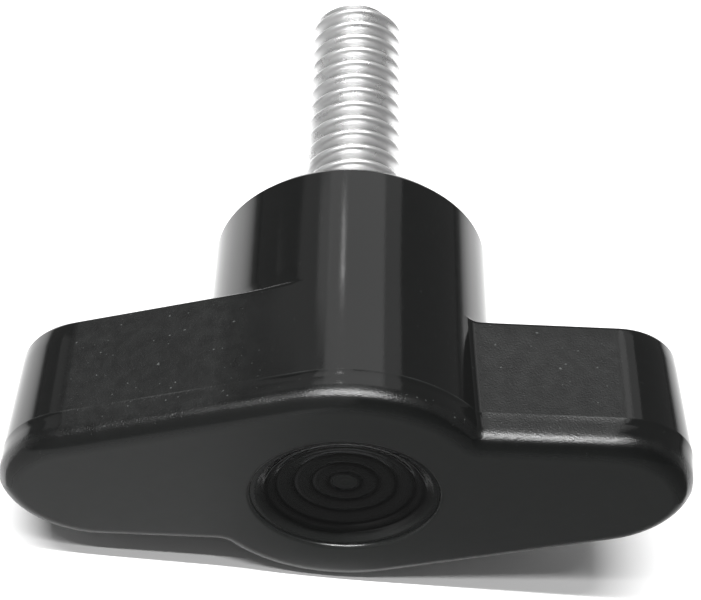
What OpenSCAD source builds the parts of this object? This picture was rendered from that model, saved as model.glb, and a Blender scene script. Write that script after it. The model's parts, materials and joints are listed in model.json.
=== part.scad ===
// Wing screw: a moulded plastic wing handle on a steel threaded stud.
// Frame: origin on the stud's axis at the clamping face of the hub, +Y along
// the stud towards its tip, +Z up with the part lying down on its round hub.
// The shapes are drawn standing on the clamping face, head up and wings along x.
// Drawn z runs from the clamping face towards the head. They are then laid down,
// drawn y upwards, and turned a little about the stud as the hub rolls.

/* [Pose] */
// Turn about the stud at which the part rests, -X wing down where negative
rest_turn = -7.5; // [-12:0.5:12]

/* [Hub] */
// Length of the hub from the clamping face to the head face
hub_len = 17; // [15:0.5:22]
// Diameter of the hub where its side would meet the head face
hub_head_d = 16.3; // [15.4:0.1:18]
// Diameter of the hub at the clamping face
hub_end_d = 15.2; // [14:0.1:15.4]
// Edge rounding at the clamping face
hub_end_round = 0.5; // [0.2:0.1:1]

/* [Wings] */
// Span over the two wing tips
wing_span = 36.3; // [32:0.1:44]
// Thickness of the wings, measured back from the head face
wing_thick = 8.4; // [6:0.1:11]
// Tip radius on the side that runs tangent to the hub
tip_r = 4.8; // [4:0.1:5.4]
// Tip radius on the side that meets the hub in a corner
tip_corner_r = 3.9; // [3:0.1:4.4]
// The same radius at the head face, where that corner is rounded off more
tip_face_r = 5; // [4.4:0.1:6]
// Height of the tip's centre above the hub's axis
tip_rise = 0.7; // [0:0.1:1.5]
// Angle at which the corner side climbs towards the hub
corner_slope = 1.5; // [0:0.5:4]
// Moulding draft of the wings behind the parting line
wing_draft = 1.5; // [0.5:0.5:3]
// Rounding of the head face's edge
head_round = 0.8; // [0.4:0.1:1.2]
// Rounding of the wings' back edge
back_round = 0.3; // [0.1:0.05:0.5]
// Depth of the mould's parting line behind the head face
parting_depth = 2.1; // [1.5:0.1:3.5]

/* [Recess] */
// Diameter of the dished recess in the head face
recess_d = 9.9; // [8:0.1:11]
// Depth of the recess at its middle
recess_depth = 1; // [0.6:0.1:1.6]
// Rounding of the recess's rim
recess_rim_round = 0.2; // [0.1:0.05:0.4]
// Radial pitch of the concentric rings in the recess
ring_pitch = 0.93; // [0.7:0.01:1.3]
// Height of the rings, from crest to valley
ring_h = 0.1; // [0.04:0.02:0.2]

/* [Stud] */
// Major diameter of the 1/4-20 UNC thread
stud_d = 6.35; // [5:0.05:7]
// Length of stud that stands out of the clamping face
stud_len = 20; // [10:0.5:40]
// Chamfer at the stud's tip
tip_chamfer = 0.8; // [0.4:0.1:1.2]
// How far the plain collar inside the hub stands out past the thread
collar_step = 0.2; // [0.1:0.05:0.4]
// Width across the flats of the hexagonal anchor
anchor_af = 9.5; // [8:0.1:10.5]
// Thickness of the anchor
anchor_len = 5; // [3:0.5:6]
// Depth of the anchor's near side below the clamping face
anchor_depth = 6.5; // [4:0.5:7]

/* [Hidden] */
$fn = 96;
SLICE = 0.01;      // thickness of one slice under a wing's hull
CUT = 1;           // how far a cut runs past the face that it opens
ARC_STEPS = 5;     // chords in a quarter of the head's edge rounding
BACK_STEPS = 2;    // chords in a quarter of the back edge's rounding
RIM_STEPS = 3;     // chords in a quarter of the recess rim's rounding
TIP_STEPS = 12;    // chords in each of the two tip arcs
DISH_STEPS = 44;   // chords from the recess's rim to its middle
ROOT_ANGLE = 6;    // how far round the hub a wing's root follows its side
ROOT_SHARE = 3;    // a wing's root reaches in to this part of the hub's radius
BOWL_POWER = 4;    // how flat the bowl of the recess is at its middle
RIM_POWER = 8;     // how close to the rim the rings of the recess fade out

head_r = hub_head_d / 2;
end_r = hub_end_d / 2;
recess_r = recess_d / 2;
tip_x = wing_span / 2 - tip_r;
root_x = head_r / ROOT_SHARE;
collar_r = stud_d / 2 + collar_step;
anchor_r = anchor_af / 2 / cos(30);

// Radius of the hub's tapered side at height z above the clamping face
function hub_r(z) = end_r + (head_r - end_r) * z / hub_len;

// Points of an arc about c, from angle a to angle b, in n chords
function arc(c, r, a, b, n) =
    [for (i = [0 : n]) c + r * [cos(a + (b - a) * i / n), sin(a + (b - a) * i / n)]];

// Height of the dished floor at radius r: a shallow bowl with concentric rings
function dish_z(r) =
    hub_len - recess_depth * (1 - pow(r / recess_r, BOWL_POWER))
    + ring_h / 2 * cos(360 * r / ring_pitch) * (1 - pow(r / recess_r, RIM_POWER));

// Angle by which the tangent side leans from X, for a hub of radius r and a
// tip of radius q
function tangent_angle(r, q) =
    atan2(tip_rise, tip_x) + asin((r - q) / norm([tip_x, tip_rise]));

// Outline of one wing at height z. The side is drawn in by draft at the tip, and
// by inset all round where an edge is rounded. The tip has two radii: one on the
// tangent side, and p on the corner side.
function wing_outline(z, draft, inset, p) =
    let (
        r = hub_r(z) - inset,
        q = tip_r - draft - inset,
        lean = tangent_angle(r, q),
        half = wing_span / 2,
        side_h = tip_rise + tip_corner_r,
        corner = [half - p, side_h - p],
        pr = p - draft - inset,
        step = 90 / TIP_STEPS,
        from = max(0, asin((tip_rise - corner[1]) / pr)) + step,
        top = corner + pr * [sin(corner_slope), cos(corner_slope)]
    )
    concat(
        [[0, 0]],
        arc([0, 0], r, lean - 90 - ROOT_ANGLE, lean - 90, 1),
        arc([tip_x, tip_rise], q, lean - 90, 0, TIP_STEPS),
        arc(corner, pr, from, 90 - corner_slope, TIP_STEPS),
        [[root_x, top[1] + (top[0] - root_x) * tan(corner_slope)]]
    );

module lay() rotate([0, rest_turn, 0]) rotate([90, 0, 0]) children();

module wing_slice(z, draft, inset, p = tip_corner_r)
    translate([0, 0, z]) linear_extrude(height = SLICE)
        polygon(wing_outline(z, draft, inset, p));

// One wing: a stack of outlines from the rounded back edge, along the drafted
// side and the parting line, to the rounded edge of the head face
module wing() {
    back_z = hub_len - wing_thick;
    part_z = hub_len - parting_depth;
    back_draft = (part_z - back_z) * tan(wing_draft);
    hull() {
        for (i = [0 : BACK_STEPS])
            let (t = 90 * i / BACK_STEPS)
            wing_slice(back_z + back_round * (1 - cos(t)), back_draft,
                       back_round * (1 - sin(t)));
        wing_slice(part_z, 0, 0);
        for (i = [0 : ARC_STEPS])
            let (
                t = 90 * i / ARC_STEPS,
                z = hub_len - SLICE - head_round * (1 - sin(t)),
                k = (z - part_z) / parting_depth
            )
            wing_slice(z, 0, head_round * (1 - cos(t)),
                       tip_corner_r + k * (tip_face_r - tip_corner_r));
    }
}

// The hub's outside: its tapered side and its two edge roundings
module hub()
    rotate_extrude()
        polygon(concat(
            [[0, 0]],
            arc([end_r - hub_end_round, hub_end_round], hub_end_round, -90, 0, ARC_STEPS),
            arc([hub_r(hub_len - head_round) - head_round, hub_len - head_round],
                head_round, 0, 90, ARC_STEPS),
            [[0, hub_len]]
        ));

// What the recess takes out of the head face: a round-rimmed dish whose floor
// ripples in concentric rings
module recess()
    let (
        rim_r = recess_r + recess_rim_round,
        rim_z = hub_len - recess_rim_round
    )
    rotate_extrude()
        polygon(concat(
            [[0, hub_len + CUT], [rim_r, hub_len + CUT]],
            arc([rim_r, rim_z], recess_rim_round, 90, 180, RIM_STEPS),
            [for (i = [1 : DISH_STEPS]) let (r = recess_r * (1 - i / DISH_STEPS))
                [r, min(dish_z(r), rim_z)]]
        ));

// The part of the stud that the handle is moulded around: collar and anchor.
// As a cut it starts outside the clamping face, by extra.
module stud_core(extra = 0) {
    translate([0, 0, -extra]) cylinder(r = collar_r, h = anchor_depth + extra);
    translate([0, 0, anchor_depth]) cylinder(r = anchor_r, h = anchor_len, $fn = 6);
}

module wing_handle() color([0.11, 0.11, 0.11]) lay()
    difference() {
        union() {
            hub();
            for (side = [0, 180]) rotate([0, 0, side]) wing();
        }
        recess();
        stud_core(extra = CUT);
    }

// The stud: its thread's envelope with a chamfered tip, then collar and anchor
module threaded_stud() color([0.78, 0.78, 0.76]) lay() {
    stud_core();
    translate([0, 0, -stud_len + tip_chamfer])
        cylinder(d = stud_d, h = stud_len - tip_chamfer);
    translate([0, 0, -stud_len])
        cylinder(r1 = stud_d / 2 - tip_chamfer, r2 = stud_d / 2, h = tip_chamfer);
}

wing_handle();
threaded_stud();
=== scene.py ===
# %% [markdown]
# # A moulded wing screw
# This notebook dresses a small wing screw: a black plastic handle with two wings,
# moulded round a steel stud with a rolled thread. The solids of both pieces come
# from the CAD model. Here they get the finer forms that moulding and rolling leave,
# and the finish of each surface.

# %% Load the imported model
import json
from math import acos, asin, atan2, cos, degrees, exp, hypot, log, pi, radians, sin, sqrt, tan

import bmesh
import bpy
from mathutils import Matrix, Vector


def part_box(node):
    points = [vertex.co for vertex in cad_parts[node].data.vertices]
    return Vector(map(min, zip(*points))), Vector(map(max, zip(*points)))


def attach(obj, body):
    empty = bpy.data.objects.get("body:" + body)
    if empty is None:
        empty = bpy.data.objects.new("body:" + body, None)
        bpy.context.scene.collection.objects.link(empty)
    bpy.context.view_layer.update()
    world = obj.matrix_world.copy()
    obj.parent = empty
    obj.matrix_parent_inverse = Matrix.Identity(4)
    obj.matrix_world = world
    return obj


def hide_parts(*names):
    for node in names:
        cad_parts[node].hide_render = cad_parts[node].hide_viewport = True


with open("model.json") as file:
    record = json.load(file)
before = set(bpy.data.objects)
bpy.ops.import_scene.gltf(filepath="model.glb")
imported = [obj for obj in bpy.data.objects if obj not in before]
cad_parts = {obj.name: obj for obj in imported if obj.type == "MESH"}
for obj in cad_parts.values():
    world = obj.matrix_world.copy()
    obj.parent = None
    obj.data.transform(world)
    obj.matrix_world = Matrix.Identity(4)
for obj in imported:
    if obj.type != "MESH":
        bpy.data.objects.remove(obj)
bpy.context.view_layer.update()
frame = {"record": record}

# %% [markdown]
# ## Sizes
# All sizes are in millimetres, as on a drawing, and turn into metres only where a
# mesh is made. The overall sizes are read from the frame, so that the looks follow
# the solids. The hub is straight behind the wings and widens gently towards the
# head, where the whole handle swells a little. The roundings are the mould's: a
# generous one round the head face, small ones at the back, and a fillet at the
# corner where each wing meets the hub.

# %% Overall sizes, from the frame
MM = 0.001
handle_low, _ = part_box("wing_handle")
_, stud_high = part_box("threaded_stud")
mounts = {m["name"]: m for m in frame["record"]["mounts"]}

hub_len = -handle_low[1] / MM
stud_len = stud_high[1] / MM
stud_r = mounts["stud"]["dims"]["r_mm"]
print("hub", hub_len, "stud", stud_r, "x", stud_len, "mm")

# %% Sizes of the hub and the head face
head_r, end_r, rear_r = 8.15, 7.6, 7.85
taper_blend = 1.6         # length over which the straight rear runs into the taper
head_round, end_round = 1.2, 0.9
head_swell = 0.33         # how far the outline swells out at the head face
parting_depth = 2.1       # from the head face to the mould's parting line
recess_r, recess_depth, rim_round = 4.95, 1.0, 0.2
parting_h = hub_len - parting_depth
print("parting line at height", parting_h, "mm")

# %% Sizes of the wings
half_span = 36.3 / 2
wing_thick, wing_draft = 8.4, radians(1.5)
tip_r, tip_corner_r, tip_face_r = 4.8, 3.9, 5.0
tip_rise, corner_slope = 0.7, radians(1.5)
back_round, back_fillet, root_fillet = 0.3, 0.25, 0.55
back_h = hub_len - wing_thick
print("wings' back at height", back_h, "mm")

# %% Sizes of the stud's hidden end
HEX_HALF = radians(30)    # half the angle of one side of a hexagon
collar_r, collar_len = 3.375, 6.5
anchor_r, anchor_len = 9.5 / 2 / cos(HEX_HALF), 5.0
print("anchor", round(2 * anchor_r, 3), "mm across corners")

# %% [markdown]
# ## How it lies
# A wing screw that is put down lies on its round hub, and its wings may stop a few
# degrees off level. The shapes below are worked out with the wings level, and a
# small turn about the stud's axis then lays them down. Heights are measured from
# the clamping face towards the head.

# %% Turn about the stud's axis
roll = radians(-7.5)


def laid(x, y, z):
    """A point of the level handle, in millimetres, on the part as it lies, in metres."""
    return (MM * (x * cos(roll) + z * sin(roll)), MM * y, MM * (z * cos(roll) - x * sin(roll)))


print("turned by", round(degrees(roll), 2), "degrees")

# %% [markdown]
# ## The camera
# The camera looks down on the head face from about fifty degrees, so that the face,
# both wings and the stud behind them all show. It is set up first, because the
# forms that matter most are the ones that it sees. Its axes are worked out from
# three angles: how far it is turned, how far it looks down and how far it leans.

# %% Camera's axes
CAMERA_AT = (-0.28, -60.11, 67.06)
CAMERA_TURN, CAMERA_DOWN, CAMERA_LEAN = radians(0.344), radians(49.852), radians(1.767)
LENS = 78.27


def turned(axis, other, angle):
    """axis, turned towards other by angle."""
    return [a * cos(angle) + b * sin(angle) for a, b in zip(axis, other)]


def camera_axes(turn, down, lean):
    """The camera's right, up and backward directions, with the wings level."""
    ahead = [sin(turn) * cos(down), cos(turn) * cos(down), -sin(down)]
    level = [cos(turn), -sin(turn), 0.0]
    up = [level[1] * ahead[2] - level[2] * ahead[1],
          level[2] * ahead[0] - level[0] * ahead[2],
          level[0] * ahead[1] - level[1] * ahead[0]]
    return turned(level, up, lean), turned(up, [-v for v in level], lean), [-v for v in ahead]


print("camera looks down by", round(degrees(CAMERA_DOWN), 1), "degrees")

# %% Camera
def add_camera(place, axes, lens):
    camera = bpy.data.objects.new("camera", bpy.data.cameras.new("camera"))
    bpy.context.collection.objects.link(camera)
    camera.data.lens = lens
    camera.data.clip_start = 0.001
    columns = [[v / MM for v in laid(*axis)] for axis in axes] + [laid(*place)]
    camera.matrix_world = Matrix([[c[i] for c in columns] for i in range(3)] + [[0, 0, 0, 1]])
    bpy.context.scene.camera = camera
    return camera


camera = add_camera(CAMERA_AT, camera_axes(CAMERA_TURN, CAMERA_DOWN, CAMERA_LEAN), LENS)
print("camera at", [round(v, 4) for v in camera.location])

# %% [markdown]
# ## The handle's outline
# Seen along the stud, the handle is a round hub with two wings. One side of a wing
# runs tangent to the hub, the other meets it in a filleted corner, and the tip is
# two arcs. It could be cut from a round block with booleans, but those leave ragged
# edges where the roundings meet. Here the outline is worked out as arcs and lines
# at any height, always with the same number of points, so that outlines at
# different heights can be joined into clean strips.

# %% Points along the outline
# The straight sides list where their points lie, as shares of their length. They
# stand closer together near the ends, where the surface bends.
TANGENT_SIDE = [0, 0.03, 0.07, 0.12, 0.18, 0.25, 0.35, 0.5, 0.65, 0.78, 0.9, 0.97]
CORNER_SIDE = [0, 0.04, 0.12, 0.25, 0.4, 0.55, 0.7, 0.85, 0.95]
TIP_ARC, CORNER_ARC, FILLET_ARC, HUB_ARC = 16, 14, 7, 28
WING_POINTS = len(TANGENT_SIDE) + TIP_ARC + CORNER_ARC + len(CORNER_SIDE) + FILLET_ARC
HALF_POINTS = WING_POINTS + HUB_ARC
print("outline points:", 2 * HALF_POINTS)

# %% Arcs and lines
def polar(centre, r, angle):
    return (centre[0] + r * cos(angle), centre[1] + r * sin(angle))


def bearing(start, end):
    """The angle of the line from start to end."""
    return atan2(end[1] - start[1], end[0] - start[0])


def arc(centre, r, a, b, n):
    """n points of an arc from angle a towards angle b, without its last point."""
    return [polar(centre, r, a + (b - a) * i / n) for i in range(n)]


def between(p, q, share):
    return (p[0] + (q[0] - p[0]) * share, p[1] + (q[1] - p[1]) * share)


print("quarter arc:", [[round(v, 2) for v in p] for p in arc((0, 0), 1, 0, pi / 2, 3)])

# %% [markdown]
# ## How the handle's sizes change along the stud
# The hub's side is straight behind the wings, then tapered. The logarithm is a
# common way to run one straight line into another without a kink. From the wings'
# back to the head face the outline swells, slowly at first, so that it starts
# without a crease. The draft narrows the wings behind the parting line, so that the
# handle could leave the mould.

# %% Radius and swell by height
def hub_r(h):
    """Radius of the hub's side at height h."""
    taper = (head_r - end_r) / hub_len
    start = (rear_r - end_r) / taper
    return rear_r + taper * taper_blend * log(1 + exp((h - start) / taper_blend))


def swell(h):
    """How far the outline swells out at height h."""
    return head_swell * max(0.0, (h - back_h) / (hub_len - back_h)) ** 2


print("hub radius", [round(hub_r(h), 2) for h in (0, back_h, hub_len)])

# %% One wing at any height
def wing_shape(h, inset=0.0):
    """Centres, radii and angles of one wing's outline at height h, drawn in by inset."""
    draft = max(0.0, parting_h - h) * tan(wing_draft)
    grown = max(0.0, h - parting_h) / parting_depth
    out = swell(h) - inset
    r, q = hub_r(h) + out, tip_r - draft + out
    tip = (half_span - tip_r, tip_rise)
    p = tip_corner_r + grown * (tip_face_r - tip_corner_r)
    corner, corner_r = (half_span - p, tip_rise + tip_corner_r - p), p - draft + out
    gap = hypot(corner[0] - tip[0], corner[1] - tip[1])
    crossing = (q * q + gap * gap - corner_r * corner_r) / (2 * q * gap)
    return {"hub_r": r, "tip": tip, "tip_r": q, "corner": corner, "corner_r": corner_r,
            "lean": atan2(tip[1], tip[0]) + asin((r - q) / hypot(*tip)),
            "cross": polar(tip, q, bearing(tip, corner) + acos(max(-1.0, min(1.0, crossing)))),
            "fillet_r": root_fillet + inset}


print("wing at the head face:", {k: v for k, v in wing_shape(hub_len).items() if k.endswith("_r")})

# %% Half the outline
def root_corner(shape):
    """The end of the corner side at the tip, its end at the root, and the fillet's centre."""
    f = shape["fillet_r"]
    normal = (sin(corner_slope), cos(corner_slope))
    start = (shape["corner"][0] + shape["corner_r"] * normal[0],
             shape["corner"][1] + shape["corner_r"] * normal[1])
    rise = start[0] * normal[0] + start[1] * normal[1] + f
    along = sqrt((shape["hub_r"] + f) ** 2 - rise ** 2)
    centre = (rise * normal[0] + along * normal[1], rise * normal[1] - along * normal[0])
    return start, (centre[0] - f * normal[0], centre[1] - f * normal[1]), centre


def half_outline(shape):
    """Points of one wing and the hub's arc after it, and their angles round the hub."""
    r, tip, corner, cross = (shape[k] for k in ("hub_r", "tip", "corner", "cross"))
    down, up = shape["lean"] - pi / 2, shape["lean"] + pi / 2
    side_start, side_end, centre = root_corner(shape)
    root_angle = bearing((0, 0), centre)
    hub_end, tip_end = polar((0, 0), r, down), polar(tip, shape["tip_r"], down)
    points = [between(hub_end, tip_end, share) for share in TANGENT_SIDE]
    points += arc(tip, shape["tip_r"], down, bearing(tip, cross), TIP_ARC)
    points += arc(corner, shape["corner_r"], bearing(corner, cross), pi / 2 - corner_slope, CORNER_ARC)
    points += [between(side_start, side_end, share) for share in CORNER_SIDE]
    points += arc(centre, shape["fillet_r"], 1.5 * pi - corner_slope, pi + root_angle, FILLET_ARC)
    points += arc((0, 0), r, root_angle, up, HUB_ARC)
    angles = [down + (root_angle - down) * i / WING_POINTS for i in range(WING_POINTS)]
    angles += [root_angle + (up - root_angle) * i / HUB_ARC for i in range(HUB_ARC)]
    return points, angles


print("points of one half:", len(half_outline(wing_shape(hub_len))[0]))

# %% Whole outline, and circles that match it
def outline(h, inset=0.0):
    """The outline at height h. The second wing is the first one, turned half round."""
    points, _ = half_outline(wing_shape(h, inset))
    narrow = half_span / (half_span + swell(h))
    points = [(x * narrow, z) for x, z in points]
    return points + [(-x, -z) for x, z in points]


def circle(r, h):
    """A ring of radius r, with its points where the outline at height h has them."""
    _, angles = half_outline(wing_shape(h))
    return [polar((0, 0), r, a) for a in angles + [a + pi for a in angles]]


def blend(plain, other, shares):
    """Each point of plain, moved towards the same point of other by its own share."""
    return [between(p, q, share) for p, q, share in zip(plain, other, shares)]


print("span at the head face:", round(2 * max(x for x, _ in outline(hub_len)), 3), "mm")

# %% [markdown]
# ## The handle's rings
# The skin of the handle is one sheet. It starts at the middle of the dished recess,
# runs out over the rim and the head face, round the head's edge, down the wings to
# their back, along the hub to the clamping face, and ends inside, where the steel
# anchor sits. It is listed as rings from start to end, and each ring names the
# finish that the mould gives there: polished, satin or fine grain.

# %% Finish along the outline
GRAIN_FROM, GRAIN_OVER = 0.1, 0.25    # shares of the tangent side over which its grain fades in
ROOT_GRAIN = 0.6                      # grain on the fillet's first point


def fade_in(share):
    return min(1.0, max(0.0, (share - GRAIN_FROM) / GRAIN_OVER))


GRAIN = ([fade_in(share) for share in TANGENT_SIDE] + [0.0] * (TIP_ARC + CORNER_ARC)
         + [0.0] + [1.0] * (len(CORNER_SIDE) - 1) + [ROOT_GRAIN] + [0.0] * (FILLET_ARC - 1)
         + [0.0] * HUB_ARC) * 2
NOTHING = [0.0] * len(GRAIN)
print("grained points of each ring:", sum(g > 0 for g in GRAIN))

# %% List of rings
rings = []


def add_ring(points, h, satin=0.0, grain=NOTHING):
    """Adds a ring at height h. Its satin is one value, or one for each point."""
    satins = satin if isinstance(satin, list) else [satin] * len(points)
    rings.append([(*laid(x, -h, z), s, g) for (x, z), s, g in zip(points, satins, grain)])


print("each ring has", len(NOTHING), "points")

# %% [markdown]
# ## The recess in the head face
# A blind dish was turned into the mould with a round-nosed tool, and its rings show
# on every handle. They could be a bump in the material, but they catch the light
# from the side and are therefore real grooves here. The bowl is a fourth power of
# the radius: nearly flat in the middle, and steep at the wall.

# %% Form of the recess
ring_grooves = [(0.86, 0.05), (1.75, 0.05), (2.7, 0.045), (3.65, 0.04), (4.15, 0.035)]
groove_width = 0.16
ripple_height, ripple_pitch = 0.003, 0.31


def groove(r, at):
    return exp(-((r - at) / groove_width) ** 2)


def dish_height(r):
    """Height of the recess's floor: a shallow bowl with turned grooves and ripples."""
    bowl = hub_len - recess_depth * (1 - (r / recess_r) ** 4)
    grooves = sum(depth * groove(r, at) for at, depth in ring_grooves)
    ripple = ripple_height * cos(2 * pi * r / ripple_pitch) * (1 - (r / recess_r) ** 8)
    return min(bowl - grooves + ripple, hub_len - rim_round)


print("recess:", round(hub_len - dish_height(0), 3), "mm deep in the middle")

# %% Rings of the recess
RECESS_RINGS = 90
MIDDLE_SATIN, LAND_SATIN, WALL_SATIN = 0.6, 0.35, 0.3


def dish_satin(r):
    """The grooves are shiny, the lands between them, the middle and the wall less so."""
    land = 1 - min(1.0, sum(groove(r, at) for at, _ in ring_grooves))
    most = MIDDLE_SATIN if r < ring_grooves[0][0] else LAND_SATIN
    return most * land + WALL_SATIN * (r / recess_r) ** 16


for i in range(RECESS_RINGS):
    r = recess_r * i / RECESS_RINGS
    add_ring(circle(r, hub_len), dish_height(r), satin=dish_satin(r))
print("rings to the recess's wall:", len(rings))

# %% Rim and head face
RIM_STEPS = 6
RIM_SATIN = 0.4
RIM_MARGIN, EDGE_MARGIN = 0.06, 0.08    # flat strips that keep the shading of the face flat

for i in range(RIM_STEPS + 1):
    t = pi / 2 * i / RIM_STEPS
    add_ring(circle(recess_r + rim_round * (1 - cos(t)), hub_len),
             hub_len - rim_round * (1 - sin(t)),
             satin=RIM_SATIN + (1 - RIM_SATIN) * (i / RIM_STEPS) ** 2)
add_ring(circle(recess_r + rim_round + RIM_MARGIN, hub_len), hub_len, satin=1.0)
add_ring(outline(hub_len, head_round + EDGE_MARGIN), hub_len, satin=1.0)
print("rings to the head's edge:", len(rings))

# %% [markdown]
# ## The head's edge and the parting line
# The edge of the head face is a quarter round. Its satin finish dies away quickly
# on the upper side, where pockets and hands have also dulled the bend, and slowly
# on the lower side. Where the two halves of the mould met, a thin ridge of plastic
# was squeezed out. It is worn away in places, so its height follows a slow, uneven
# wave along the outline.

# %% Edge of the head face
EDGE_STEPS = 12
EDGE_WEAR = 0.7                       # grain at the middle of the worn stretch
UPPER_FADE, LOWER_FADE = 3, 0.3       # powers with which the satin dies away

for i in range(EDGE_STEPS + 1):
    t = pi / 2 * (1 - i / EDGE_STEPS)
    h = hub_len - head_round * (1 - sin(t))
    points = outline(h, head_round * (1 - cos(t)))
    past_middle = max(0.0, 2 * i / EDGE_STEPS - 1)
    worn = EDGE_WEAR * max(0.0, sin(pi * past_middle))
    add_ring(points, h,
             satin=[(1 - i / EDGE_STEPS) ** (UPPER_FADE if z > 0 else LOWER_FADE) for _, z in points],
             grain=[max(worn, g * past_middle) if z > 0 else 0.0 for (_, z), g in zip(points, GRAIN)])
print("rings to the sides:", len(rings))

# %% Parting line
ridge = 0.025
RIDGE_SATIN = 0.6
LEAST_RIDGE = 0.3                     # share of the ridge that is left where it is most worn


def ridge_shares():
    """How much of the ridge is left at each point."""
    shares = []
    for x, z in outline(parting_h):
        wave = sin(0.9 * x + 0.4 * z + 1.0) + 0.6 * sin(2.1 * x - z + 2.0) + 0.4 * sin(4.7 * x)
        shares.append(LEAST_RIDGE + (1 - LEAST_RIDGE) / (1 + exp(-2 * wave)))
    return shares


left = ridge_shares()
for above, proud in ((0.5, 0.0), (0.085, 0.0), (0.02, ridge), (-0.02, ridge), (-0.024, 0.0), (-0.5, 0.0)):
    h = parting_h + above
    add_ring(blend(outline(h), outline(h, -proud), left), h,
             satin=[RIDGE_SATIN * w ** 3 if proud else 0.0 for w in left], grain=GRAIN)
print("ridge left, least and most:", round(min(left), 2), round(max(left), 2))

# %% Sides of the wings
SIDE_RINGS = 6
BELOW_PARTING = 1.0
sides_from, sides_to = parting_h - BELOW_PARTING, back_h + back_round
for i in range(SIDE_RINGS):
    h = sides_from + (sides_to - sides_from) * i / (SIDE_RINGS - 1)
    add_ring(outline(h), h, grain=GRAIN)
print("rings to the wings' back:", len(rings))

# %% [markdown]
# ## Back of the wings and rear of the hub
# A wing's back has a small rounding and runs into the hub with a small fillet. Both
# fade to nothing where the wing's side runs into the hub, and so each point has its
# own share of them. Between the wings the rings simply follow the hub, and the
# clamping face has its own rounding.

# %% Shares of the roundings
ON_WING = ([1.0] * (WING_POINTS - FILLET_ARC) + [1 - i / FILLET_ARC for i in range(FILLET_ARC)]
           + [0.0] * HUB_ARC) * 2
ON_WING[0] = ON_WING[HALF_POINTS] = 0.0
LEAST_COS = 0.2                       # keeps the tangent side's distance finite far out


def back_room(h):
    """How far the wings stand out of the hub at each point, as a share of the rounding."""
    return [min(1.0, (hypot(x, z) - hub_r(h)) / (2 * back_round)) * w
            for (x, z), w in zip(outline(h), ON_WING)]


def hub_room(h):
    """How far a fillet on the hub may spread at each point, as a share of its radius."""
    shape = wing_shape(h)
    _, angles = half_outline(shape)
    down = shape["lean"] - pi / 2
    room = [hub_r(h) * (1 / max(LEAST_COS, cos(a - down)) - 1) / (2 * back_fillet) for a in angles]
    return [min(1.0, r) * w for r, w in zip(room * 2, ON_WING)]


print("points with the whole fillet:", sum(w == 1 for w in hub_room(back_h)))

# %% Back of the wings
BACK_STEPS = 5
for i in range(1, BACK_STEPS + 1):
    t = pi / 2 * i / BACK_STEPS
    h = back_h + back_round * (1 - sin(t))
    add_ring(blend(outline(h), outline(h, back_round * (1 - cos(t))), back_room(h)), h)
for i in range(BACK_STEPS + 1):
    t = pi / 2 * i / BACK_STEPS
    h = back_h - back_fillet * (1 - cos(t))
    spread = back_fillet * (1 - sin(t)) / hub_r(h)
    add_ring([(x * (1 + spread * w), z * (1 + spread * w))
              for (x, z), w in zip(circle(hub_r(h), back_h), hub_room(back_h))], h)
print("rings to the hub:", len(rings))

# %% Rear of the hub
REAR_RINGS, END_STEPS = 10, 7
rear_from = back_h - back_fillet
for i in range(1, REAR_RINGS + 1):
    h = rear_from + (end_round - rear_from) * i / REAR_RINGS
    add_ring(circle(hub_r(h), back_h), h)
for i in range(1, END_STEPS + 1):
    t = pi / 2 * i / END_STEPS
    add_ring(circle(end_r - end_round * (1 - cos(t)), back_h), end_round * (1 - sin(t)))
add_ring(circle(end_r - end_round - RIM_MARGIN, back_h), 0.0)
print("rings to the clamping face:", len(rings))

# %% Inside: the collar's bore and the anchor's pocket
def hexagon(across_corners_r, h):
    """A hexagon with corners on X, its points at the angles that the ring at height h has."""
    inner = across_corners_r * cos(HEX_HALF)
    return [polar((0, 0), inner / cos((atan2(z, x) % (2 * HEX_HALF)) - HEX_HALF), atan2(z, x))
            for x, z in circle(1.0, h)]


add_ring(circle(collar_r, back_h), 0.0)
add_ring(circle(collar_r, back_h), collar_len)
add_ring(hexagon(anchor_r, back_h), collar_len)
add_ring(hexagon(anchor_r, back_h), collar_len + anchor_len)
add_ring(circle(0.0, back_h), collar_len + anchor_len)
print("rings:", len(rings))

# %% [markdown]
# ## The handle as one skin
# A circle is added and put on the first ring. It is then extruded once for each
# ring, and every new point moves to its own place, as one would extrude and scale
# by hand. Each point carries its number along the outline in an attribute, which
# the extrusion copies, so no point can end up on another's place. Rings that
# share points, at the poles and behind the wings, close up when the doubles are
# merged.

# %% Numbered circle
MERGE = 1e-7              # metres
HANDLE_CREASE, STUD_CREASE = radians(32), radians(40)    # sharper edges stay sharp


def numbered_circle(name, points):
    bpy.ops.object.select_all(action="DESELECT")
    bpy.ops.mesh.primitive_circle_add(vertices=points, radius=MM, fill_type="NOTHING")
    obj = bpy.context.object
    obj.name = obj.data.name = name
    number = obj.data.attributes.new("number", "INT", "POINT")
    number.data.foreach_set("value", list(range(points)))
    for finish in ("satin", "grain"):
        obj.data.attributes.new(finish, "FLOAT", "POINT")
    return obj


handle = numbered_circle("moulded_handle", 2 * HALF_POINTS)
print("started", handle.name, "with", len(handle.data.vertices), "points")

# %% Skin
def put_selected(obj, ring):
    """Moves the selected points to their places on the ring and gives them its finish."""
    mesh = bmesh.from_edit_mesh(obj.data)
    number = mesh.verts.layers.int["number"]
    satin, grain = mesh.verts.layers.float["satin"], mesh.verts.layers.float["grain"]
    for v in mesh.verts:
        if v.select:
            x, y, z, v[satin], v[grain] = ring[v[number]]
            v.co = (x, y, z)
    bmesh.update_edit_mesh(obj.data)


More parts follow.
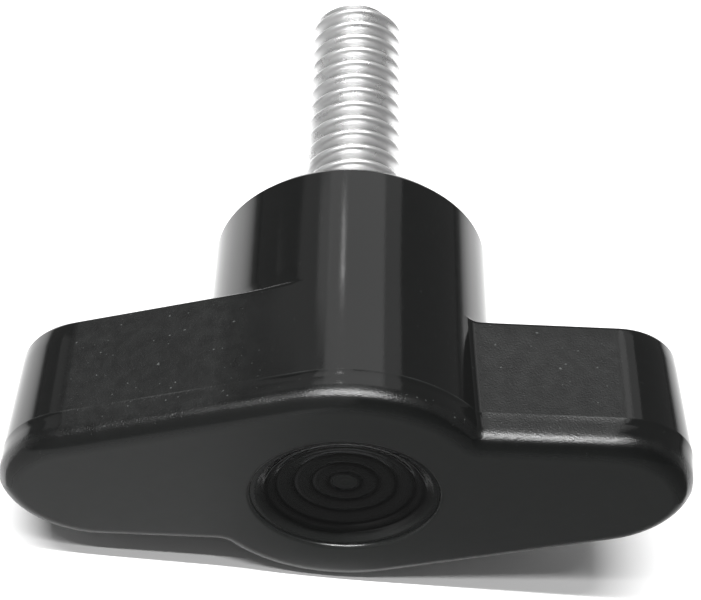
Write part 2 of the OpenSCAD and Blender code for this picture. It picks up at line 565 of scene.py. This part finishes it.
bpy.ops.object.mode_set(mode="EDIT")
bpy.ops.mesh.select_all(action="SELECT")
put_selected(handle, rings[0])
for ring in rings[1:]:
    bpy.ops.mesh.extrude_region_move()
    put_selected(handle, ring)
bpy.ops.mesh.select_all(action="SELECT")
bpy.ops.mesh.remove_doubles(threshold=MERGE)
bpy.ops.mesh.normals_make_consistent(inside=False)
bpy.ops.object.mode_set(mode="OBJECT")
handle.data.attributes.remove(handle.data.attributes["number"])
bpy.ops.object.shade_smooth_by_angle(angle=HANDLE_CREASE)
print(handle.name, len(handle.data.polygons), "faces")

# %% [markdown]
# ## The stud's thread
# The stud is 1/4-20: twenty turns to the inch. A rolled thread has slightly
# rounded crests and roots. One turn's profile is drawn as a line, point by point,
# and the Screw modifier winds it into a right-hand thread. It starts more than a
# turn before the clamping face and ends past the tip, and both ends are then cut
# square. The cut needs a very small threshold: its default would catch points a
# tenth of a millimetre away and leave the end open.

# %% Thread profile
PITCH = 25.4 / 20
THREAD_DEPTH = 0.61 * PITCH
ROOT_AT = 0.603           # where a root lies along the stud, on the side of the +X wing
TURNS_BEFORE, SPARE_TURNS = 2, 4
HALF_ROOT, FLANK, FLANK_SWELL = 0.08, 0.36, 0.06    # as shares of the pitch and the depth
PROFILE_POINTS = 12


def thread_radius(u):
    """Radius at share u of a turn from the root, for flanks with rounded ends."""
    from_root = abs((u + 0.5) % 1.0 - 0.5)
    v = min(1.0, max(0.0, (from_root - HALF_ROOT) / FLANK))
    return stud_r - THREAD_DEPTH * (1 - v + FLANK_SWELL * sin(2 * pi * v))


profile = [(thread_radius(i / PROFILE_POINTS),
            ROOT_AT - TURNS_BEFORE * PITCH + PITCH * i / PROFILE_POINTS)
           for i in range(PROFILE_POINTS + 1)]
print("thread radius", round(min(r for r, _ in profile), 3), "to", round(max(r for r, _ in profile), 3))

# %% Draw the profile
bpy.ops.object.select_all(action="DESELECT")
bpy.ops.mesh.primitive_plane_add(size=MM)
stud = bpy.context.object
stud.name = stud.data.name = "rolled_stud"
bpy.ops.object.mode_set(mode="EDIT")
bpy.ops.mesh.select_all(action="SELECT")
bpy.ops.mesh.merge(type="CENTER")
bpy.ops.transform.translate(value=(profile[0][0] * MM, profile[0][1] * MM, 0))
for (r0, y0), (r1, y1) in zip(profile, profile[1:]):
    bpy.ops.mesh.extrude_region_move(
        TRANSFORM_OT_translate={"value": ((r1 - r0) * MM, (y1 - y0) * MM, 0)})
bpy.ops.object.mode_set(mode="OBJECT")
print("profile of", len(stud.data.vertices), "points")

# %% Wind the thread
ROUND_SIDES = 96          # steps in one turn of the thread, and sides of every turned form

wind = stud.modifiers.new("wind", "SCREW")
wind.axis = "Y"
wind.screw_offset = PITCH * MM
wind.iterations = int(stud_len / PITCH) + SPARE_TURNS
wind.steps = wind.render_steps = ROUND_SIDES
wind.use_merge_vertices = True
wind.merge_threshold = MERGE
print("turns:", wind.iterations)
bpy.ops.object.modifier_apply(modifier="wind")
stud.rotation_euler = (0, roll, 0)
bpy.ops.object.transform_apply(location=False, rotation=True, scale=False)

# %% Square its ends
def cut(plane_y, outer):
    bpy.ops.mesh.select_all(action="SELECT")
    bpy.ops.mesh.bisect(plane_co=(0, plane_y * MM, 0), plane_no=(0, 1, 0), use_fill=True,
                        threshold=1e-8, clear_outer=outer, clear_inner=not outer)


bpy.ops.object.mode_set(mode="EDIT")
bpy.ops.mesh.select_all(action="SELECT")
bpy.ops.mesh.remove_doubles(threshold=MERGE)
cut(0.0, outer=False)
cut(stud_len, outer=True)
bpy.ops.mesh.select_all(action="SELECT")
bpy.ops.mesh.normals_make_consistent(inside=False)
bpy.ops.object.mode_set(mode="OBJECT")
print("thread:", len(stud.data.polygons), "faces")

# %% [markdown]
# ## Chamfer, collar and anchor
# The blank was chamfered before its thread was rolled, so the last crests fade out
# on a cone. That cone is a plain turned form, and a boolean with it trims the
# crests exactly. Inside the handle the stud has a plain collar and a hexagonal
# anchor, which keep it from turning or pulling out.

# %% Turned forms
def lathe(name, sections, sides=ROUND_SIDES):
    """A turned solid about Y, from (radius, y) sections, by extruding a disc."""
    bpy.ops.object.select_all(action="DESELECT")
    bpy.ops.mesh.primitive_circle_add(vertices=sides, radius=sections[0][0] * MM, fill_type="NGON",
                                      rotation=(pi / 2, 0, 0), location=(0, sections[0][1] * MM, 0))
    obj = bpy.context.object
    obj.name = obj.data.name = name
    bpy.ops.object.transform_apply(location=True, rotation=True, scale=True)
    bpy.ops.object.mode_set(mode="EDIT")
    bpy.ops.mesh.select_all(action="SELECT")
    for (r0, y0), (r1, y1) in zip(sections, sections[1:]):
        bpy.ops.mesh.extrude_region_move(TRANSFORM_OT_translate={"value": (0, (y1 - y0) * MM, 0)})
        bpy.ops.transform.resize(value=(r1 / r0, 1, r1 / r0))
    bpy.ops.mesh.select_all(action="SELECT")
    bpy.ops.mesh.normals_make_consistent(inside=False)
    bpy.ops.object.mode_set(mode="OBJECT")
    print(name, len(obj.data.polygons), "faces")
    return obj


# %% Trim the tip and add what the handle hides
TIP_CHAMFER = 0.8
CLEAR = 0.5                           # how far the blank stands outside the crests
BLANK_START = -1.0
POINT_R, POINT_LEN = 0.01, 0.15       # a flat point closes the blank past the tip
OVERLAP = 0.1                         # how far the collar goes into the anchor


def combine(obj, tool, operation):
    bpy.ops.object.select_all(action="DESELECT")
    obj.select_set(True)
    bpy.context.view_layer.objects.active = obj
    step = obj.modifiers.new(operation, "BOOLEAN")
    step.object, step.operation, step.solver = tool, operation, "EXACT"
    bpy.ops.object.modifier_apply(modifier=operation)
    bpy.data.objects.remove(tool)


combine(stud, lathe("blank", [(stud_r + CLEAR, BLANK_START),
                              (stud_r + CLEAR, stud_len - TIP_CHAMFER - CLEAR),
                              (stud_r - TIP_CHAMFER, stud_len),
                              (POINT_R, stud_len + POINT_LEN)]), "INTERSECT")
combine(stud, lathe("collar", [(collar_r, -collar_len - OVERLAP), (collar_r, 0.0)]), "UNION")
combine(stud, lathe("anchor", [(anchor_r, -collar_len - anchor_len), (anchor_r, -collar_len)],
                    sides=6), "UNION")
bpy.ops.object.select_all(action="DESELECT")
stud.select_set(True)
bpy.context.view_layer.objects.active = stud
bpy.ops.object.shade_smooth_by_angle(angle=STUD_CREASE)
print("stud:", len(stud.data.polygons), "faces")

# %% [markdown]
# ## Materials
# Black plastic shows almost only what it reflects, so its roughness matters more
# than its colour. The mould was polished on the hub, spark-eroded to a fine grain
# on the wings' sides and left satin on the head face. The two attributes on the
# handle's points say which finish each place has, and blend where they meet. Dust
# and the mould's mottle lighten the grained places a little.

# %% Node helpers
def new_material(name):
    material = bpy.data.materials.new(name)
    material.use_nodes = True
    nodes = material.node_tree.nodes
    return material, nodes, material.node_tree.links, nodes["Principled BSDF"]


def noise(nodes, links, place, scale, detail):
    """Noise on the piece's own coordinates, with about scale patches to the metre."""
    node = nodes.new("ShaderNodeTexNoise")
    node.inputs["Scale"].default_value = scale
    node.inputs["Detail"].default_value = detail
    links.new(place, node.inputs["Vector"])
    return node.outputs["Fac"]


def ramp(nodes, links, source, low, high, to_low, to_high):
    """source, taken from the range low..high to the range to_low..to_high."""
    node = nodes.new("ShaderNodeMapRange")
    for i, value in enumerate((low, high, to_low, to_high)):
        node.inputs[i + 1].default_value = value
    links.new(source, node.inputs[0])
    return node.outputs[0]


def work_out(nodes, links, operation, *values):
    """The result of one sum on values, each a number or another node's output."""
    node = nodes.new("ShaderNodeMath")
    node.operation = operation
    for slot, value in zip(node.inputs, values):
        if isinstance(value, (int, float)):
            slot.default_value = value
        else:
            links.new(value, slot)
    return node.outputs[0]


print("node helpers ready")

# %% Black plastic's finish
POLISHED, POLISHED_WORST = 0.06, 0.11       # roughness of the polished mould, uneven
SATIN_ROUGH, GRAIN_ROUGH = 0.36, 0.3        # what each finish adds to it
GRAIN_HEIGHT = 0.00003                      # metres
GRAIN_BUMP, POLISHED_BUMP = 0.8, 0.06


def finish_plastic(nodes, links, shader, satin, grain, soft, fine):
    rough = work_out(nodes, links, "ADD", work_out(nodes, links, "MULTIPLY", satin, SATIN_ROUGH),
                     work_out(nodes, links, "MULTIPLY", grain, GRAIN_ROUGH))
    uneven = ramp(nodes, links, soft, 0.3, 0.7, POLISHED, POLISHED_WORST)
    links.new(work_out(nodes, links, "ADD", rough, uneven), shader.inputs["Roughness"])
    bump = nodes.new("ShaderNodeBump")
    bump.inputs["Distance"].default_value = GRAIN_HEIGHT
    links.new(work_out(nodes, links, "MULTIPLY_ADD", grain, GRAIN_BUMP, POLISHED_BUMP),
              bump.inputs["Strength"])
    links.new(fine, bump.inputs["Height"])
    links.new(bump.outputs["Normal"], shader.inputs["Normal"])


print("roughness", POLISHED, "polished,", round(POLISHED + SATIN_ROUGH, 2), "satin")

# %% Black plastic's colour
BLACK, SATIN_HAZE = 0.004, 0.021            # base colour, and what the satin face adds
SPECK, MOTTLE = 0.06, 0.003                 # how pale dust and mottle are
POLISHED_SHARE = 0.1                        # how much of both shows where there is no grain
DUST_FROM, DUST_FULL = 0.81, 0.86           # only the noise's rare peaks are dust
TINT = (0.97, 1.03, 1.0)


def colour_plastic(nodes, links, shader, satin, grain, soft, dust):
    marks = work_out(nodes, links, "ADD", ramp(nodes, links, dust, DUST_FROM, DUST_FULL, 0.0, SPECK),
                     ramp(nodes, links, soft, 0.35, 0.65, 0.0, MOTTLE))
    marks = work_out(nodes, links, "MULTIPLY", marks,
                     work_out(nodes, links, "ADD", grain, POLISHED_SHARE))
    haze = work_out(nodes, links, "MULTIPLY_ADD", satin, SATIN_HAZE, BLACK)
    pale = work_out(nodes, links, "ADD", marks, haze)
    colour = nodes.new("ShaderNodeCombineColor")
    for slot, share in zip(colour.inputs, TINT):
        links.new(work_out(nodes, links, "MULTIPLY", pale, share), slot)
    links.new(colour.outputs[0], shader.inputs["Base Color"])


print("base colour", BLACK, "to", round(BLACK + SATIN_HAZE, 3))

# %% Black plastic
SOFT_PATCHES, FINE_GRAIN, DUST = (1500.0, 3.0), (11000.0, 2.0), (5200.0, 0.0)    # scale and detail


def moulded_plastic():
    material, nodes, links, shader = new_material("black_moulded_plastic")
    place = nodes.new("ShaderNodeTexCoord").outputs["Object"]
    satin, grain = nodes.new("ShaderNodeAttribute"), nodes.new("ShaderNodeAttribute")
    satin.attribute_name, grain.attribute_name = "satin", "grain"
    satin, grain = satin.outputs["Fac"], grain.outputs["Fac"]
    soft = noise(nodes, links, place, *SOFT_PATCHES)
    finish_plastic(nodes, links, shader, satin, grain, soft, noise(nodes, links, place, *FINE_GRAIN))
    colour_plastic(nodes, links, shader, satin, grain, soft, noise(nodes, links, place, *DUST))
    return material


plastic = moulded_plastic()
print(plastic.name, len(plastic.node_tree.nodes), "nodes")

# %% [markdown]
# ## The steel
# The stud is bright zinc on steel. Rolled flanks are smooth, and so the metal shows
# streaks of whatever light stands over it. Its colour follows the distance from the
# axis: dark in the roots, as painted shade for the light that cannot reach into the
# thread, and bright on the crests, which were rubbed.

# %% Zinc-plated steel
STEEL_ROUGH, STEEL_ROUGHEST = 0.26, 0.32
STEEL_PATCHES = (900.0, 3.0)
METALLIC = 0.85                       # a little under one, for the film of passivation
# Painted shade: the roots are painted dark, and the colour brightens from them to the rubbed crests.
ROOT_PAINTED_SHADE, CREST_TONE = 0.3, 0.86
BRIGHT_FROM = 0.4                     # share of the thread's depth that is rubbed bright


def zinc_steel():
    material, nodes, links, shader = new_material("zinc_plated_steel")
    place = nodes.new("ShaderNodeTexCoord").outputs["Object"]
    soft = noise(nodes, links, place, *STEEL_PATCHES)
    links.new(ramp(nodes, links, soft, 0.3, 0.7, STEEL_ROUGH, STEEL_ROUGHEST),
              shader.inputs["Roughness"])
    shader.inputs["Metallic"].default_value = METALLIC
    across = nodes.new("ShaderNodeSeparateXYZ")
    links.new(place, across.inputs[0])
    x, z = across.outputs["X"], across.outputs["Z"]
    radius = work_out(nodes, links, "SQRT", work_out(
        nodes, links, "MULTIPLY_ADD", x, x, work_out(nodes, links, "MULTIPLY", z, z)))
    # The colour runs from the roots' painted shade out to the rubbed crests.
    root_r, crest_r = (stud_r - THREAD_DEPTH) * MM, (stud_r - BRIGHT_FROM * THREAD_DEPTH) * MM
    links.new(ramp(nodes, links, radius, root_r, crest_r, ROOT_PAINTED_SHADE, CREST_TONE),
              shader.inputs["Base Color"])
    return material


steel = zinc_steel()
print(steel.name, len(steel.node_tree.nodes), "nodes")

# %% What each piece stands for
for piece, material, slot, node in ((handle, plastic, "handle_plastic", "wing_handle"),
                                    (stud, steel, "stud_steel", "threaded_stud")):
    piece.data.materials.clear()
    piece.data.materials.append(material)
    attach(piece, "root")
    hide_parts(node)
    print(piece.name, "stands for", node)

# %% [markdown]
# ## The table
# The screw lies on a plain white table. Its colour is painted darker away from the
# screw: painted shade for the light that fades at the edge of a small studio. It is
# put at the lowest point of the handle.

# %% Floor
# Painted shade: the table's colour goes from white to a dim grey away from the screw.
TABLE_WHITE, TABLE_PAINTED_SHADE, TABLE_ROUGH = 0.92, 0.1, 0.7
DIM_FROM, DIM_TO = 0.045, 0.16        # metres from the screw


def white_table():
    material, nodes, links, shader = new_material("white_table")
    shader.inputs["Roughness"].default_value = TABLE_ROUGH
    distance = nodes.new("ShaderNodeVectorMath")
    distance.operation = "LENGTH"
    links.new(nodes.new("ShaderNodeTexCoord").outputs["Object"], distance.inputs[0])
    # Painted shade: darker with distance from the screw.
    links.new(ramp(nodes, links, distance.outputs["Value"], DIM_FROM, DIM_TO, TABLE_WHITE, TABLE_PAINTED_SHADE),
              shader.inputs["Base Color"])
    return material


table_z = min(v.co.z for v in handle.data.vertices)
bpy.ops.object.select_all(action="DESELECT")
bpy.ops.mesh.primitive_plane_add(size=3.0, location=(0, 0, table_z))
floor = bpy.context.object
floor.name = "table"
floor.data.materials.append(white_table())
print("table at", round(table_z / MM, 3), "mm")

# %% [markdown]
# ## Black cards: painted shade
# The head face and the recess reflect the table in front of them. A black card laid
# there, and a second one stood up behind it, are painted shade: they stand in for the
# shade that the camera casts on the table in front, and are seen in reflections
# alone. They are painted a little lighter on the left, a painted reflection that
# lightens the left of the head face.

# %% Cards
# Painted shade and painted reflection: the cards are black, and lighter grey on the left, so the left of
# the head face mirrors something lighter.
CARD_PAINTED_LIGHTER_LEFT, CARD_PAINTED_SHADE, CARD_ROUGH = 0.22, 0.02, 0.9
GREY_TO, BLACK_FROM = -0.007, -0.001  # metres along X
LYING_Y, LYING_LIFT, LYING_SIZE = -0.134, 0.0002, (0.5, 0.233, 1)
STANDING_Y, STANDING_Z, STANDING_SIZE = -0.25, 0.21, (1.2, 1, 0.4)


def painted_shade_card():
    material, nodes, links, shader = new_material("painted_shade_card")
    across = nodes.new("ShaderNodeSeparateXYZ")
    links.new(nodes.new("ShaderNodeTexCoord").outputs["Object"], across.inputs[0])
    # Painted reflection on the left, painted shade on the right.
    links.new(ramp(nodes, links, across.outputs["X"], GREY_TO, BLACK_FROM, CARD_PAINTED_LIGHTER_LEFT, CARD_PAINTED_SHADE),
              shader.inputs["Base Color"])
    shader.inputs["Roughness"].default_value = CARD_ROUGH
    return material


def add_card(name, place, tilt, size, material):
    bpy.ops.object.select_all(action="DESELECT")
    bpy.ops.mesh.primitive_plane_add(size=1.0, location=place, rotation=(tilt, 0, 0))
    card = bpy.context.object
    card.name = name
    bpy.ops.transform.resize(value=size)
    card.visible_camera = card.visible_diffuse = card.visible_shadow = False
    card.data.materials.append(material)
    return card


shade_card_paint = painted_shade_card()
card = add_card("card", (0, LYING_Y, table_z + LYING_LIFT), 0, LYING_SIZE, shade_card_paint)
bpy.ops.object.transform_apply(location=True, rotation=True, scale=True)
screen = add_card("screen", (0, STANDING_Y, STANDING_Z + table_z), pi / 2, STANDING_SIZE, shade_card_paint)
print("cards:", card.name, screen.name)

# %% [markdown]
# ## The light
# A broad ceiling panel lights the table. Two thin tubes along X do most of the
# work: the one above draws the stud's bright streak and the shadow's firm edge, and
# the one in front the bright line along the head's edge. Panels low at the back and
# the left are what the hub and the wings mirror: a dim one, a brighter window in
# it, and a very small lamp for the hub's thin streak. Each is aimed at the screw
# unless its line says otherwise.

# %% Lamps
def softbox(name, place, size, power, aim=(0, 0, 0)):
    """A rectangular panel at place, size in metres and power in watts, facing aim."""
    data = bpy.data.lights.new(name, "AREA")
    data.shape = "RECTANGLE"
    data.size, data.size_y = size
    data.energy = power
    lamp = bpy.data.objects.new(name, data)
    bpy.context.collection.objects.link(lamp)
    lamp.location = place
    ahead = [a - p for a, p in zip(aim, place)]
    flat = hypot(ahead[0], ahead[1])
    lamp.rotation_euler = (atan2(flat, -ahead[2]), 0, atan2(-ahead[0], ahead[1]))
    print(name, "of", power, "W at", place)


softbox("ceiling", (-0.1, 0.16, 0.62), (0.5, 0.4), 0.7, aim=(-0.1, 0.16, 0))
softbox("ceiling_tube", (-0.1, -0.05, 0.6), (0.5, 0.012), 5.2, aim=(-0.1, 0, 0))
softbox("front_tube", (-0.06, -0.16, 0.6), (0.5, 0.014), 1.6, aim=(-0.06, 0, 0))
softbox("left_panel", (-0.44, 0.33, 0.25), (0.14, 0.2), 0.02)
softbox("left_fill", (-0.31, 0.42, 0.39), (0.2, 0.2), 0.032)
softbox("back_panel", (0.03, 0.42, 0.44), (0.48, 0.2), 0.14)
softbox("back_window", (-0.05, 0.41, 0.44), (0.43, 0.16), 0.12)
softbox("back_lamp", (-0.11, 0.41, 0.446), (0.022, 0.01), 0.008)

# %% World
world = bpy.data.worlds.new("studio")
bpy.context.scene.world = world
world.use_nodes = True
background = world.node_tree.nodes["Background"]
background.inputs["Color"].default_value = (1, 1, 1, 1)
background.inputs["Strength"].default_value = 0.18    # the room's own dim light
bpy.context.scene.view_settings.view_transform = "Standard"
print("world", background.inputs["Strength"].default_value)
